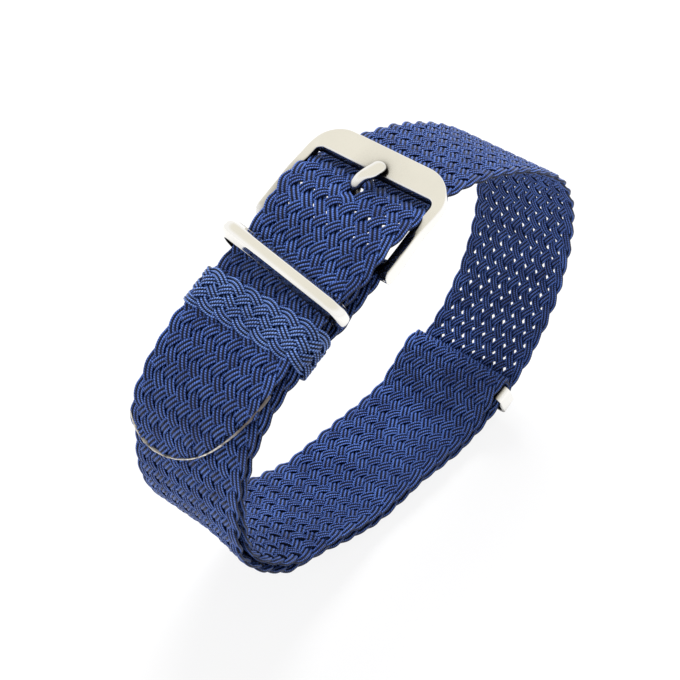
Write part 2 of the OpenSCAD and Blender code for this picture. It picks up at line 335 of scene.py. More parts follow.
def head(along, up, across):
    """A point of the head's frame, up being outward from the wrist."""
    return to_world(PIVOT, HEAD_ANGLE, along, up, across)


def ring_frame(along, up, across):
    """A point of the end ring's frame, up being towards the wrist."""
    return to_world(RING_PLACE, RING_ANGLE, along, up, across)


def smooth_step(x):
    """0 below 0, 1 above 1, and a soft rise between them."""
    x = np.clip(x, 0, 1)
    return x * x * (3 - 2 * x)


def bump(x, low, high, soft):
    """1 between low and high, falling to 0 over soft on both sides."""
    return smooth_step((x - low + soft) / soft) * smooth_step((high + soft - x) / soft)


def profile(points, at):
    """The level at a place, on straights between (place, level) points."""
    return float(np.interp(at, *zip(*points)))


def lengths_along(points):
    """The length from the first point to each point of a line."""
    gaps = np.linalg.norm(np.diff(points, axis=0), axis=1)
    return np.concatenate([[0], np.cumsum(gaps)])


def spline(points, count):
    """A smooth line through the points."""
    points = np.array(points, float)
    padded = np.vstack([2 * points[0] - points[1], points, 2 * points[-1] - points[-2]])
    out = []
    for place in np.linspace(0, len(points) - 1, count):
        k = min(int(place), len(points) - 2)
        f = place - k
        before, start, end, after = padded[k:k + 4]
        square = 2 * before - 5 * start + 4 * end - after
        cube = 3 * start - before - 3 * end + after
        out.append(0.5 * (2 * start + (end - before) * f + square * f * f + cube * f ** 3))
    return np.array(out)


def rounded_loop(half_width, low, high, corner, steps):
    """Points and outward normals of a closed rounded rectangle, across and up."""
    line, normals = [], []
    right, left = half_width - corner, -half_width + corner
    centres = [(right, high - corner), (left, high - corner), (left, low + corner), (right, low + corner)]
    for quarter, (across, up) in enumerate(centres):
        for k in range(steps + 1):
            angle = math.radians(90 * (quarter + k / steps))
            line.append((across + corner * math.cos(angle), up + corner * math.sin(angle)))
            normals.append((math.cos(angle), math.sin(angle)))
    return spaced(np.array(line), np.array(normals))


def spaced(line, normals):
    """Adds points on the long straights of a closed line, so that no gap is over LOOP_STEP."""
    out, out_normals = [], []
    for k in range(len(line)):
        after = (k + 1) % len(line)
        gap = line[after] - line[k]
        parts = max(1, math.ceil(np.hypot(*gap) / LOOP_STEP))
        for j in range(parts):
            out.append(line[k] + gap * (j / parts))
            out_normals.append(normals[k] + (normals[after] - normals[k]) * (j / parts))
    return np.array(out), np.array(out_normals)


# Surfaces that the braids lie on


class Strip:
    """The middle surface of a band. A place on it is along it, across it, and a height outward of it."""

    def __init__(self, start, angle, turns, offset, open_span=None):
        points, angles = [], []
        x, z = start
        for size, turn in turns:
            steps = max(2, math.ceil(abs(turn) / ARC_STEP if turn else size / STRAIGHT_STEP))
            for share in np.arange(steps) / steps:
                points.append(self.after(x, z, angle, size, turn, share))
                angles.append(angle + turn * share)
            x, z = self.after(x, z, angle, size, turn, 1)
            angle += turn
        points.append((x, z))
        angles.append(angle)
        self.angles = np.radians(angles)
        outward = np.stack([np.sin(self.angles), -np.cos(self.angles)], axis=1)
        self.points = np.array(points) + offset * outward
        self.length = lengths_along(self.points)
        self.open_span = open_span

    @staticmethod
    def after(x, z, angle, size, turn, share):
        """Where the path is after a share of one turn that starts at x, z."""
        heading = math.radians(angle)
        if turn == 0:
            return x + size * share * math.cos(heading), z + size * share * math.sin(heading)
        radius = size if turn > 0 else -size
        later = heading + math.radians(turn * share)
        centre_x = x - radius * math.sin(heading)
        centre_z = z + radius * math.cos(heading)
        return centre_x + radius * math.sin(later), centre_z - radius * math.cos(later)

    def place(self, along, across, height):
        """World points on the surface or above it."""
        angle = np.interp(along, self.length, self.angles)
        x = np.interp(along, self.length, self.points[:, 0]) + height * np.sin(angle)
        z = np.interp(along, self.length, self.points[:, 1]) - height * np.cos(angle)
        return np.stack([x, across + 0 * x, z], axis=-1)

    def outward(self, along):
        """The outward direction in the world."""
        angle = np.interp(along, self.length, self.angles)
        return np.stack([np.sin(angle), 0 * angle, -np.cos(angle)], axis=-1)

    def openness(self, along):
        """1 where the braid is pulled open, 0 where it is dense."""
        if self.open_span is None:
            return 0 * along
        return bump(along, *self.open_span)

    def shape(self, along, across):
        """Where the band's own bends take a strand: along, across and its lift."""
        return along, across, 0 * along

    def keep(self, along, across):
        """Whether a strand is there."""
        return np.full(len(along), True)

    def in_head_frame(self, along):
        """The middle line's place along the head's frame and above it."""
        way = self.place(along, 0 * along, 0 * along) - head(0, 0, 0)
        cos, sin = math.cos(math.radians(HEAD_ANGLE)), math.sin(math.radians(HEAD_ANGLE))
        return way[..., 0] * cos + way[..., 2] * sin, way[..., 2] * cos - way[..., 0] * sin


class MainStrip(Strip):
    """The main band: from its sewn end over the spring bar, round the loop and on to the tail."""

    def __init__(self):
        sewn_reach = POCKET_RUN + 2 * STEP_RADIUS * math.sin(math.radians(STEP_TURN)) + SEWN_RUN
        start = head(-sewn_reach, FOLD_RADIUS - SEWN_GAP, 0)
        turns = FOLD_TURNS + MAIN_TURNS + TAIL_TURNS
        super().__init__((start[0], start[2]), HEAD_ANGLE, turns, BAND_THICKNESS / 2, OPEN_SPAN)
        self.tip = self.length[-1] - math.radians(TIP_TURN) * (TAIL_RADIUS + BAND_THICKNESS / 2)
        self.fold_eye = self.find_fold_eye()
        self.rod_eye = self.find_rod_eye()

    def find_fold_eye(self):
        """Where the fold reaches furthest round the spring bar."""
        along = np.arange(0, FOLD_EYE_SEARCH, EYE_SEARCH_STEP)
        forward, _ = self.in_head_frame(along)
        return along[np.argmax(forward)]

    def find_rod_eye(self):
        """Where the tongue's rod comes up through the tail."""
        along = np.arange(self.tip - ROD_EYE_SEARCH, self.tip, EYE_SEARCH_STEP)
        forward, up = self.in_head_frame(along)
        gap = np.abs(up - np.interp(forward, *spline(ROD_LINE, ROD_POINTS).T))
        outside = (forward < ROD_EYE_FROM) | (forward > ROD_EYE_TO)
        return along[np.argmin(np.where(outside, np.inf, gap))]

    def tail_lift(self, along):
        """The tail stands a little off the bend below it."""
        return TAIL_LIFT * bump(along - self.tip, *TAIL_LIFT_SPAN)

    def shape(self, along, across):
        """The band's bends, its wider layer inside the buckle, and its two eyes."""
        forward, _ = self.in_head_frame(along)
        outer = along > OUTER_LAYER
        lift = edge_wave(along, across) * (along < OUTER_LAYER) + self.tail_lift(along)
        lift = lift + FRONT_LIFT * bump(forward, *FRONT_LIFT_SPAN) * outer
        wide = bump(forward, *WIDE_SPAN) * outer
        window = bump(forward, *WINDOW_SPAN) * outer
        across = across * (1 + WIDER * wide + WINDOW_WIDER * window) - WIDE_ASIDE * wide * (1 - window / 2)
        along, across = open_eye(along, across, self.fold_eye, *FOLD_EYE)
        along, across = open_eye(along, across, self.rod_eye, *ROD_EYE)
        return along, across, lift

    def keep(self, along, across):
        """The strands end at the tail's oval cut."""
        oval = np.sqrt(np.clip(1 - (across / TIP_HALF_WIDTH) ** 2, 0, 1))
        return (along >= 0) & (along < self.tip - TIP_BACK + TIP_LENGTH * oval + TIP_SKEW * across)


class RetainingStrip(Strip):
    """The inner layer: the main path's bends, tighter by the gap, then up to the end ring and back."""

    def __init__(self):
        bends = [(size - INNER_GAP if turn else size, turn) for size, turn in BENDS_TO_FOOT]
        lead = [(FIRST_RUN - INNER_START, 0)] + bends + [(RISE_RADIUS - INNER_GAP, LEAD_TURN)]
        back_radius = FAR_RADIUS - INNER_GAP - BAND_THICKNESS
        back = [(RING_FOLD_RADIUS, -180), (RING_PAST_RUN, 0), (back_radius, -BACK_TURN)]
        start = head(-INNER_START, FOLD_RADIUS - INNER_GAP, 0)
        turns = lead + RING_RISE + back
        super().__init__((start[0], start[2]), HEAD_ANGLE + 180, turns, -BAND_THICKNESS / 2)

    def shape(self, along, across):
        """It follows the main band, whose length at the same place also counts its sewn end."""
        return along, across, edge_wave(along + INNER_START + SEWN_LENGTH, across)


class Loop:
    """The braided keeper's middle surface: a rounded rectangle round the band, with the calls of a Strip."""

    def __init__(self, middle, low, high, half_width, corner):
        self.middle = middle
        line, normals = rounded_loop(half_width, low, high, corner, LOOP_CORNER_STEPS)
        self.line = np.vstack([line, line[:1]])
        self.normals = np.vstack([normals, normals[:1]])
        self.length = lengths_along(self.line)

    def place(self, along, across, height):
        """World points on the surface or above it."""
        along = np.mod(along, self.length[-1])
        normal = self.normal(along)
        side = np.interp(along, self.length, self.line[:, 0]) + height * normal[..., 0]
        up = np.interp(along, self.length, self.line[:, 1]) + height * normal[..., 1]
        return head(self.middle + across, up, side)

    def normal(self, along):
        """The outward direction, across and up."""
        along = np.mod(along, self.length[-1])
        side = np.interp(along, self.length, self.normals[:, 0])
        up = np.interp(along, self.length, self.normals[:, 1])
        size = np.hypot(side, up)
        return np.stack([side / size, up / size], axis=-1)

    def outward(self, along):
        """The outward direction in the world."""
        normal = self.normal(along)
        return head(0, normal[..., 1], normal[..., 0]) - head(0, 0, 0)


def open_eye(along, across, middle, half_length, half_width):
    """Pushes strands aside round an opening, as a tongue does that goes through a braid."""
    never_zero = 1e-6
    reach = np.hypot((along - middle) / half_length, across / half_width) + never_zero
    push = np.sqrt(reach ** 2 + 1) / reach
    return middle + (along - middle) * push, across * push


def edge_wave(along, across):
    """The near edge leans out at the left bend and lifts off the table beside it."""
    near = np.clip(-across / EDGE_REACH, 0, 1.1) ** EDGE_CURVE
    return near * (EDGE_LEAN * bump(along, *EDGE_LEAN_SPAN) - EDGE_RISE * bump(along, *EDGE_RISE_SPAN))


# Meshes


class MeshMaker:
    """Gathers tubes of four-sided faces and makes one object of them."""

    def __init__(self):
        self.points, self.faces, self.uvs, self.tints = [], [], [], []
        self.count = 0

    def add_tube(self, grid, along, tint=0.5, closed=False):
        """grid is rows of points round a section, along the millimetres at each row."""
        rows, ring = grid.shape[:2]
        index = np.arange(rows * ring).reshape(rows, ring) + self.count
        beside = np.roll(index, -1, axis=1)
        used = rows if closed else rows - 1
        ahead = np.roll(index, -1, axis=0)
        ahead_beside = np.roll(beside, -1, axis=0)
        quads = np.stack([index, beside, ahead_beside, ahead], axis=-1)[:used]
        self.faces.append(quads.reshape(-1, 4))
        self.uvs.append(tube_uvs(np.asarray(along, float), used, ring))
        if not closed:
            self.add_cap(index[0], True)
            self.add_cap(index[-1], False)
        self.points.append(grid.reshape(-1, 3))
        self.tints.append(np.full(rows * ring, tint))
        self.count += rows * ring

    def add_cap(self, row, flip):
        """Closes one end with a strip of faces between the two halves of its section."""
        ring = len(row)
        quads = [(row[k], row[k + 1], row[ring - 2 - k], row[ring - 1 - k]) for k in range(ring // 2 - 1)]
        quads = np.array(quads)
        if not flip:
            quads = quads[:, ::-1]
        self.faces.append(quads)
        self.uvs.append(np.zeros((len(quads) * 4, 2)))

    def build(self, name, material, body, node=None):
        """Makes the object and puts it on its body. It replaces the node that is named."""
        points = np.vstack(self.points) * MM
        faces = np.vstack(self.faces)
        mesh = bpy.data.meshes.new(name)
        mesh.vertices.add(len(points))
        mesh.vertices.foreach_set("co", points.ravel())
        mesh.loops.add(faces.size)
        mesh.loops.foreach_set("vertex_index", faces.ravel())
        mesh.polygons.add(len(faces))
        mesh.polygons.foreach_set("loop_start", np.arange(0, faces.size, 4))
        mesh.update(calc_edges=True)
        mesh.polygons.foreach_set("use_smooth", np.ones(len(faces), bool))
        layer = mesh.uv_layers.new(name="along")
        layer.uv.foreach_set("vector", np.vstack(self.uvs).ravel())
        attribute = mesh.attributes.new("tint", "FLOAT", "POINT")
        attribute.data.foreach_set("value", np.concatenate(self.tints))
        mesh.validate()
        finish_piece(mesh, name, material, body, node)


def tube_uvs(along, rows, ring):
    """For each face of a tube: millimetres along it, and the share of the way round it."""
    around = np.arange(ring + 1) / ring
    ahead = np.append(along[1:], along[-1] + (along[1] - along[0]))
    u = np.stack([along, along, ahead, ahead], axis=-1)[:rows, None, :].repeat(ring, axis=1)
    v = np.stack([around[:-1], around[1:], around[1:], around[:-1]], axis=-1)
    v = v[None].repeat(rows, axis=0)
    return np.stack([u, v], axis=-1).reshape(-1, 2)


def finish_piece(mesh, name, material, body, node):
    """Links the object, with its material, the body that it rides on and what it replaces."""
    obj = bpy.data.objects.new(name, mesh)
    bpy.context.scene.collection.objects.link(obj)
    mesh.materials.append(material)
    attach(obj, body)
    if node is not None:
        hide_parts(node)


def sweep(centres, ups, section, closed=False):
    """Carries a section along a line: its first number goes sideways, its second up."""
    if closed:
        tangents = np.roll(centres, -1, axis=0) - np.roll(centres, 1, axis=0)
    else:
        tangents = np.gradient(centres, axis=0)
    sides = np.cross(tangents, ups)
    sides /= np.linalg.norm(sides, axis=1)[:, None]
    lifts = np.cross(sides, tangents)
    lifts /= np.linalg.norm(lifts, axis=1)[:, None]
    if section.ndim == 2:
        section = section[None].repeat(len(centres), axis=0)
    sideways = sides[:, None, :] * section[:, :, 0:1]
    upward = lifts[:, None, :] * section[:, :, 1:2]
    return centres[:, None, :] + sideways + upward


# Sections


def bundle_section(pitch):
    """Three round cords as one outline. Every third point lies in the groove between two cords."""
    r = CORD_RADIUS
    half = [
        (-pitch - r, 0), (-pitch - 0.62 * r, 0.78 * r), (-pitch + 0.25 * r, 0.97 * r),
        (-pitch / 2, 0.3 * r), (-0.5 * r, 0.88 * r), (0.5 * r, 0.88 * r),
        (pitch / 2, 0.3 * r), (pitch - 0.25 * r, 0.97 * r), (pitch + 0.62 * r, 0.78 * r),
    ]
    return np.array(half + [(-x, -z) for x, z in half])


def ring_section(half_width, half_height, steps):
    """An oval about its middle."""
    angles = np.linspace(0, 2 * np.pi, steps + 1)[:-1]
    return np.stack([half_width * np.cos(angles), half_height * np.sin(angles)], axis=1)


def rounded_section(width, height, corner, steps=4):
    """A rounded rectangle about its middle, with points along its flat top and bottom too."""
    flat_end = width / 2 - corner
    points = []
    for quarter in range(4):
        side = 1 if quarter in (0, 3) else -1
        level = 1 if quarter < 2 else -1
        for k in range(steps + 1):
            angle = math.radians(90 * (quarter + k / steps))
            x = side * flat_end + corner * math.cos(angle)
            z = level * (height / 2 - corner) + corner * math.sin(angle)
            points.append((x, z))
        if quarter in (0, 2):
            points += [(side * flat_end * (1 - 2 * share), level * height / 2) for share in FLAT_SHARES]
    return np.array(points)


def sloped_section():
    """The ring keeper's wire: crowned on top, sloping down both sides to a thin lip at the bottom."""
    side = [
        (1.4, -0.7), (1.5, -0.68), (1.55, -0.6), (1.44, -0.52), (1.4, -0.46), (1.15, 0.02), (0.98, 0.33),
        (0.85, 0.52), (0.68, 0.64), (0.45, 0.72), (0.2, 0.77),
    ]
    return np.array(side + [(-x, z) for x, z in side[::-1]])


# Braids


def strand_across(phase, strands, rounding, width):
    """How far a strand is from the braid's middle. Its turns at both edges are rounded."""
    fold = np.abs(np.mod(phase + strands, 2 * strands) - strands)
    gap = strands - fold
    low = np.where(fold < rounding, (fold * fold + rounding * rounding) / (2 * rounding), fold)
    high = np.where(gap < rounding, (gap * gap + rounding * rounding) / (2 * rounding), gap)
    rounded = np.where(fold < strands / 2, low, strands - high)
    crossed = (rounded - rounding / 2) * strands / (strands - rounding)
    return (crossed / strands - 0.5) * width


def strand_height(phase, strands):
    """Over and under: 1 on top of a crossing, -1 below it. Round an edge it changes sides once."""
    phase = np.mod(phase, 2 * strands)
    wave = np.where(phase < strands, np.cos(np.pi * phase), -np.cos(np.pi * phase))
    far_edge = phase - strands
    wave = np.where(np.abs(far_edge) <= 1, -np.cos(np.pi * (far_edge + 1) / 2), wave)
    near_edge = np.where(phase > strands, phase - 2 * strands, phase)
    wave = np.where(np.abs(near_edge) <= 1, np.cos(np.pi * (near_edge + 1) / 2), wave)
    return np.sign(wave) * np.abs(wave) ** CROSSING_FLATNESS


def add_braid(maker, strip, row, first, last, origin=0.0):
    """Lays the strands of a flat braid between two row counts along a strip."""
    rows = first + np.arange((last - first) * SAMPLES_PER_ROW + 1) / SAMPLES_PER_ROW
    dense = bundle_section(CORD_PITCH)
    opened = bundle_section(OPEN_CORD_PITCH)
    width = BAND_WIDTH - 2 * (CORD_PITCH + CORD_RADIUS)
    tints = np.random.default_rng(STRAND_SEED).random(BAND_STRANDS)
    for strand, tint in enumerate(tints):
        phase = rows + 2 * strand
        across = strand_across(phase, BAND_STRANDS, EDGE_ROUNDING, width)
        across = across + STRAY * np.sin(rows * STRAY_RATE + STRAY_SPREAD * tint)
        along, across, lift = strip.shape(origin + rows * row, across)
        centres = strip.place(along, across, STRAND_RISE * strand_height(phase, BAND_STRANDS) + lift)
        openness = strip.openness(along)[:, None, None]
        grid = sweep(centres, strip.outward(along), dense + openness * (opened - dense))
        path = lengths_along(centres)
        for start, end in runs(strip.keep(along, across)):
            maker.add_tube(grid[start:end], path[start:end], tint)


def add_closed_braid(maker, loop):
    """Lays the keeper's braid round a loop. Each strand goes round until it meets its own start."""
    rounds = math.lcm(KEEPER_ROWS, 2 * KEEPER_STRANDS) // KEEPER_ROWS
    rows = np.arange(KEEPER_ROWS * rounds * SAMPLES_PER_ROW) / SAMPLES_PER_ROW
    section = bundle_section(KEEPER_CORD_PITCH)
    width = KEEPER_WIDTH - 2 * (KEEPER_CORD_PITCH + CORD_RADIUS)
    for strand in range(KEEPER_STRANDS // rounds):
        phase = rows + 2 * strand
        along = rows * loop.length[-1] / KEEPER_ROWS
        across = strand_across(phase, KEEPER_STRANDS, KEEPER_EDGE_ROUNDING, width)
        centres = loop.place(along, across, STRAND_RISE * strand_height(phase, KEEPER_STRANDS))
        grid = sweep(centres, loop.outward(along), section, closed=True)
        tint = 0.3 + 0.2 * strand
        maker.add_tube(grid, along * KEEPER_SLANT, tint, closed=True)


def runs(kept):
    """The stretches of a strand that are kept, where they are long enough for a tube."""
    kept = np.concatenate([[False], kept, [False]])
    edges = np.flatnonzero(kept[1:] != kept[:-1])
    return [(start, end) for start, end in zip(edges[::2], edges[1::2]) if end - start > 2]


def make_braid_pieces(strip, name, node, nylon, row, last, pieces, origin=0.0):
    """Braids a strip from its start to its last row, as a few pieces that replace one node."""
    cuts = np.linspace(0, last, pieces + 1).astype(int)
    for number, (first, end) in enumerate(zip(cuts[:-1], cuts[1:])):
        maker = MeshMaker()
        add_braid(maker, strip, row, first, end, origin)
        replaced = node if number == 0 else None
        maker.build(f"{name}_{number + 1}", nylon, "strap", replaced)


def make_main_band(strip, nylon):
    """The main braid. A whole number of double rows lies between its two eyes."""
    rows_between = 2 * round((strip.rod_eye - strip.fold_eye) / (2 * BAND_ROW))
    row = (strip.rod_eye - strip.fold_eye) / rows_between
    rows_before = 2 * round(strip.fold_eye / (2 * row))
    origin = strip.fold_eye - rows_before * row
    last = math.ceil((strip.tip + TIP_SPARE - origin) / row)
    make_braid_pieces(strip, "main_braid", "main_band", nylon, row, last, MAIN_PIECES, origin)


def make_retaining_band(nylon):
    """The braid of the inner layer."""
    strip = RetainingStrip()
    rows = int(strip.length[-1] / BAND_ROW)
    make_braid_pieces(strip, "retaining_braid", "retaining_band", nylon, BAND_ROW, rows, RETAINING_PIECES)


def make_keeper(nylon):
    """The braided keeper, round the head of the strap."""
    maker = MeshMaker()
    add_closed_braid(maker, Loop(KEEPER_MIDDLE, KEEPER_LOW, KEEPER_HIGH, KEEPER_HALF_WIDTH, KEEPER_CORNER))
    maker.build("keeper_braid", nylon, "strap", "braided_keeper")


def make_tail_edge(strip, melted):
    """The heat-cut edge: a thin bead round the tail's rounded end."""
    angle = np.radians(np.linspace(BEAD_FROM, BEAD_TO, BEAD_POINTS))
    across = TIP_HALF_WIDTH * np.sin(angle)
    along = strip.tip - TIP_BACK + TIP_LENGTH * np.cos(angle) + TIP_SKEW * across
    height = strip.tail_lift(along) + BEAD_RISE
    centres = strip.place(along + BEAD_OUT * np.cos(angle), across * BEAD_WIDER, height)
    section = ring_section(BEAD_HALF_WIDTH, BEAD_HALF_HEIGHT, steps=10)
    wobble = 1 + BEAD_UNEVEN * np.sin(angle * 37) * np.sin(angle * 11)
    maker = MeshMaker()
    grid = sweep(centres, strip.outward(along), section[None] * wobble[:, None, None])
    maker.add_tube(grid, np.arange(BEAD_POINTS) * BEAD_STEP)
    maker.build("tail_edge_bead", melted, "strap", "tail_end_seal")


def make_stitches(name, node, frame, place, levels, thread):
    """A row of thread loops through the layers, in the place of a seam bar."""
    maker = MeshMaker()
    low, high = levels
    section = ring_section(THREAD_RADIUS, THREAD_RADIUS, steps=8)
    turn = np.linspace(0, 2 * np.pi, STITCH_POINTS + 1)[:-1]
    upright = np.sign(np.sin(turn)) * np.abs(np.sin(turn)) ** STITCH_SQUARENESS
    depth = (low + high) / 2 + (high - low) / 2 * upright
    ups = frame(np.ones(STITCH_POINTS), 0, 0) - frame(0, 0, 0)
    for k in range(STITCHES):
        middle = (k - STITCHES // 2) * STITCH_PITCH
        across = middle + STITCH_HALF_LENGTH * np.cos(turn)
        grid = sweep(frame(place + STITCH_LEAN * np.cos(turn), depth, across), ups, section, True)
        maker.add_tube(grid, np.arange(STITCH_POINTS) * STITCH_STEP, closed=True)
    maker.build(name, thread, "strap", node)


# Steel


def make_ring(name, node, body, frame, steel, section, low, high, half_width, corner, wall,
              middle=0, aside=0, yaw=0, lean=0):
    """A wire ring round the band: a section swept round a rounded rectangle."""
    half = wall / 2
    line, normals = rounded_loop(half_width - half, low + half, high - half, corner - half, RING_CORNER_STEPS)
    cos, sin = math.cos(math.radians(yaw)), math.sin(math.radians(yaw))
    lift = lean * line[:, 0] * (line[:, 1] - low) / (high - low)
    centres = frame(middle + sin * line[:, 0], line[:, 1] + lift, aside + cos * line[:, 0])
    ups = frame(sin * normals[:, 0], normals[:, 1], cos * normals[:, 0]) - frame(0, 0, 0)
    maker = MeshMaker()
    maker.add_tube(sweep(centres, ups, section, True), np.arange(len(line)), closed=True)
    maker.build(name, steel, body, node)


def buckle_outlines():
    """Matching points of the frame's outer and inner edge, along and across, from arm's end to arm's end."""
    start = BAR_BACK - CORNER_IN
    run = BAR_FRONT - CORNER_OUT - start
    outer, inner = [], []
    rear = -ARM_END * np.cos(np.linspace(0, np.pi / 2, REAR_POINTS))
    arm = np.linspace(ARM_START, start - ARM_SPARE, ARM_POINTS)
    for along in np.concatenate([rear, arm]):
        outer.append((along, ARM_OUT))
        inner.append((along, ARM_IN))
    for share in np.linspace(0, 1, CORNER_POINTS):
        angle = math.radians(90 * share)
        inner.append(on_corner(start, ARM_IN, CORNER_IN, angle))
        path = share * (run + CORNER_OUT * math.pi / 2)
        outer.append(on_corner(start + min(path, run), ARM_OUT, CORNER_OUT, max(0, path - run) / CORNER_OUT))
    half = len(outer)
    for share in np.linspace(0, 1, BAR_POINTS)[1:-1]:
        outer.append((BAR_FRONT, (ARM_OUT - CORNER_OUT) * (1 - 2 * share)))
        inner.append((BAR_BACK, (ARM_IN - CORNER_IN) * (1 - 2 * share)))
    for points in (outer, inner):
        points += [(along, -across) for along, across in points[:half][::-1]]
    return np.array(outer), np.array(inner)


def on_corner(along, side, radius, angle):
    """A point of a corner's arc, from an arm's side towards the front bar."""
    return along + radius * math.sin(angle), side - radius + radius * math.cos(angle)


def frame_levels(along):
    """The frame's lower and upper level: round behind the spring bar, then as its profiles say."""
    if along < 0:
        high = math.sqrt(max(0.0, ARM_END ** 2 - along * along))
        return -high, high
    return profile(FRAME_BOTTOM, along), profile(FRAME_TOP, along)


def frame_row(outer, inner):
    """The frame's section between two matching points of its edges, as world points."""
    middle = (outer + inner) / 2
    way = outer - inner
    width = math.hypot(*way)
    low, high = frame_levels(middle[0])
    height = max(high - low, LEAST_HEIGHT)
    section = rounded_section(width, height, min(EDGE_RADIUS, EDGE_SHARE * height), steps=5)
    inner_side = section[:, 0] < 0
    section[:, 0] -= profile(WALL_LEAN, middle[0]) * (0.5 - section[:, 1] / height) * inner_side
    flat = middle + (way / width) * section[:, 0:1]
    aside = FRONT_ASIDE * smooth_step((flat[:, 0] - ASIDE_FROM) / ASIDE_RUN)
    return head(flat[:, 0], (low + high) / 2 + section[:, 1], flat[:, 1] - aside)


def make_buckle(steel):
    """The frame: arms of even width, deep at the spring bar, and a wide flat front bar."""
    rows = np.array([frame_row(outer, inner) for outer, inner in zip(*buckle_outlines())])
    maker = MeshMaker()
    maker.add_tube(rows, np.arange(len(rows)))
    maker.build("buckle_frame_steel", steel, "buckle", "buckle_frame")


def make_tongue(steel):
    """A round rod from the hub on the spring bar, up through the braid, to a blunt tip."""
    line = spline(ROD_LINE, ROD_POINTS)
    reach = line[:, 0]
    blunt = np.sqrt(np.clip(1 - ((reach - ROD_END) / ROD_END_RUN) ** 2, 0.0, 1))
    end = np.where(reach < ROD_END, 1, np.maximum(blunt, ROD_TIP_SHARE))
    flat = smooth_step((reach - ROD_FLAT_FROM) / ROD_FLAT_RUN)
    aside = ROD_ASIDE * smooth_step(reach / ROD_ASIDE_RUN)
    aside = aside - ROD_SKEW * smooth_step((reach - ROD_SKEW_FROM) / ROD_SKEW_RUN)
    half_width = (ROD_HALF_WIDTH + ROD_FLAT_WIDER * flat) * end
    half_height = (ROD_HALF_HEIGHT - ROD_FLAT_LOWER * flat) * end
    sizes = np.stack([half_width, half_height], axis=1)[:, None, :]
    section = ring_section(1, 1, steps=20)[None] * sizes
    centres = head(line[:, 0], line[:, 1], aside)
    ups = np.repeat(head(0, 1, 0)[None] - head(0, 0, 0)[None], ROD_POINTS, axis=0)
    maker = MeshMaker()
    maker.add_tube(sweep(centres, ups, section), np.arange(ROD_POINTS))
    add_hub(maker)
    maker.build("tongue_steel", steel, "tongue", "buckle_tongue")


def add_hub(maker):
    """The tongue's hub: a rounded collar that turns on the spring bar."""
    turn = np.linspace(0, 2 * np.pi, HUB_POINTS + 1)[:-1]
    middle = (HUB_RADIUS + HUB_BORE) / 2
    section = rounded_section(HUB_WIDTH, HUB_RADIUS - HUB_BORE, HUB_CORNER)
    centres = head(middle * np.cos(turn), middle * np.sin(turn), 0)
    ups = head(np.cos(turn), np.sin(turn), 0) - head(0, 0, 0)
    maker.add_tube(sweep(centres, ups, section, True), np.arange(HUB_POINTS) * 0.2, closed=True)


# Materials


def srgb(r, g, b):
    """A colour written as on screen, 0 to 255, as the shader's numbers."""
    return [((c / 255 + 0.055) / 1.055) ** 2.4 if c > 10 else c / 255 / 12.92 for c in (r, g, b)] + [1]


class Nodes:
    """Short calls for building a node tree."""

    def __init__(self, tree):
        self.tree = tree
        self.tree.nodes.clear()

    def put(self, node, key, value):
        """Links a socket to one of a node's inputs, or sets the input to a plain value."""
        if isinstance(value, bpy.types.NodeSocket):
            self.tree.links.new(value, node.inputs[key])
        else:
            node.inputs[key].default_value = value

    def add(self, kind, inputs=None, **settings):
        """A node with its settings and inputs."""
        node = self.tree.nodes.new(kind)
        for key, value in settings.items():
            setattr(node, key, value)
        for key, value in (inputs or {}).items():
            self.put(node, key, value)
        return node

    def math(self, operation, a, b=0.0, c=0.0):
        """One step of arithmetic."""
        return self.add("ShaderNodeMath", {0: a, 1: b, 2: c}, operation=operation).outputs[0]

    def above(self, level, value, share):
        """The level, plus a share of how far a value is above a half."""
        return self.math("MULTIPLY_ADD", self.math("SUBTRACT", value, 0.5), share, level)

    def ramp(self, value, low, high, to_low=0.0, to_high=1.0):
        """The value's place between low and high, kept between them."""
        inputs = {"Value": value, "From Min": low, "From Max": high, "To Min": to_low, "To Max": to_high}
        return self.add("ShaderNodeMapRange", inputs).outputs[0]

    def wave(self, along, rate, around, turns):
        """A sine from 0 to 1, with a rate for each millimetre along and turns for each way round."""
        phase = self.math("MULTIPLY_ADD", along, rate, self.math("MULTIPLY", around, turns))
        return self.sine(phase)

    def sine(self, phase):
        """A sine of a phase in turns, from 0 to 1."""
        return self.ramp(self.math("SINE", self.math("MULTIPLY", phase, 2 * math.pi)), -1.0, 1.0)

    def noise(self, place, scale, detail):
        """Cloudy unevenness from 0 to 1."""
        inputs = {"Vector": place, "Scale": scale, "Detail": detail}
        return self.add("ShaderNodeTexNoise", inputs).outputs["Fac"]

    def place(self):
        """The place on the object, in metres."""
        return self.add("ShaderNodeTexCoord").outputs["Object"]

    def along_and_around(self):
        """The tube's own measures: millimetres along it, and the share of the way round."""
        uv = self.add("ShaderNodeUVMap", uv_map="along").outputs[0]
        split = self.add("ShaderNodeSeparateXYZ", {0: uv})
        return split.outputs[0], split.outputs[1]

    def mix(self, factor, a, b):
        """A colour between two."""
        node = self.add("ShaderNodeMix", data_type="RGBA", blend_type="MIX")
        for key, value in ((0, factor), (6, a), (7, b)):
            self.put(node, key, value)
        return node.outputs[2]

    def bump(self, height, strength, distance):
        """Relief for a surface, its distance in metres."""
        inputs = {"Height": height, "Strength": strength, "Distance": distance}
        return self.add("ShaderNodeBump", inputs).outputs[0]

    def background(self, colour, strength=1.0):
        """A plain light from all round."""
        return self.add("ShaderNodeBackground", {"Color": colour, "Strength": strength}).outputs[0]

    def blend(self, factor, a, b):
        """A shader between two."""
        return self.add("ShaderNodeMixShader", {0: factor, 1: a, 2: b}).outputs[0]

    def surface(self, shader):
        """Ends a material's tree."""
        self.add("ShaderNodeOutputMaterial", {"Surface": shader})

    def principled(self, inputs):
        """Ends a material's tree with one shader of these inputs."""
        self.surface(self.add("ShaderNodeBsdfPrincipled", inputs).outputs[0])


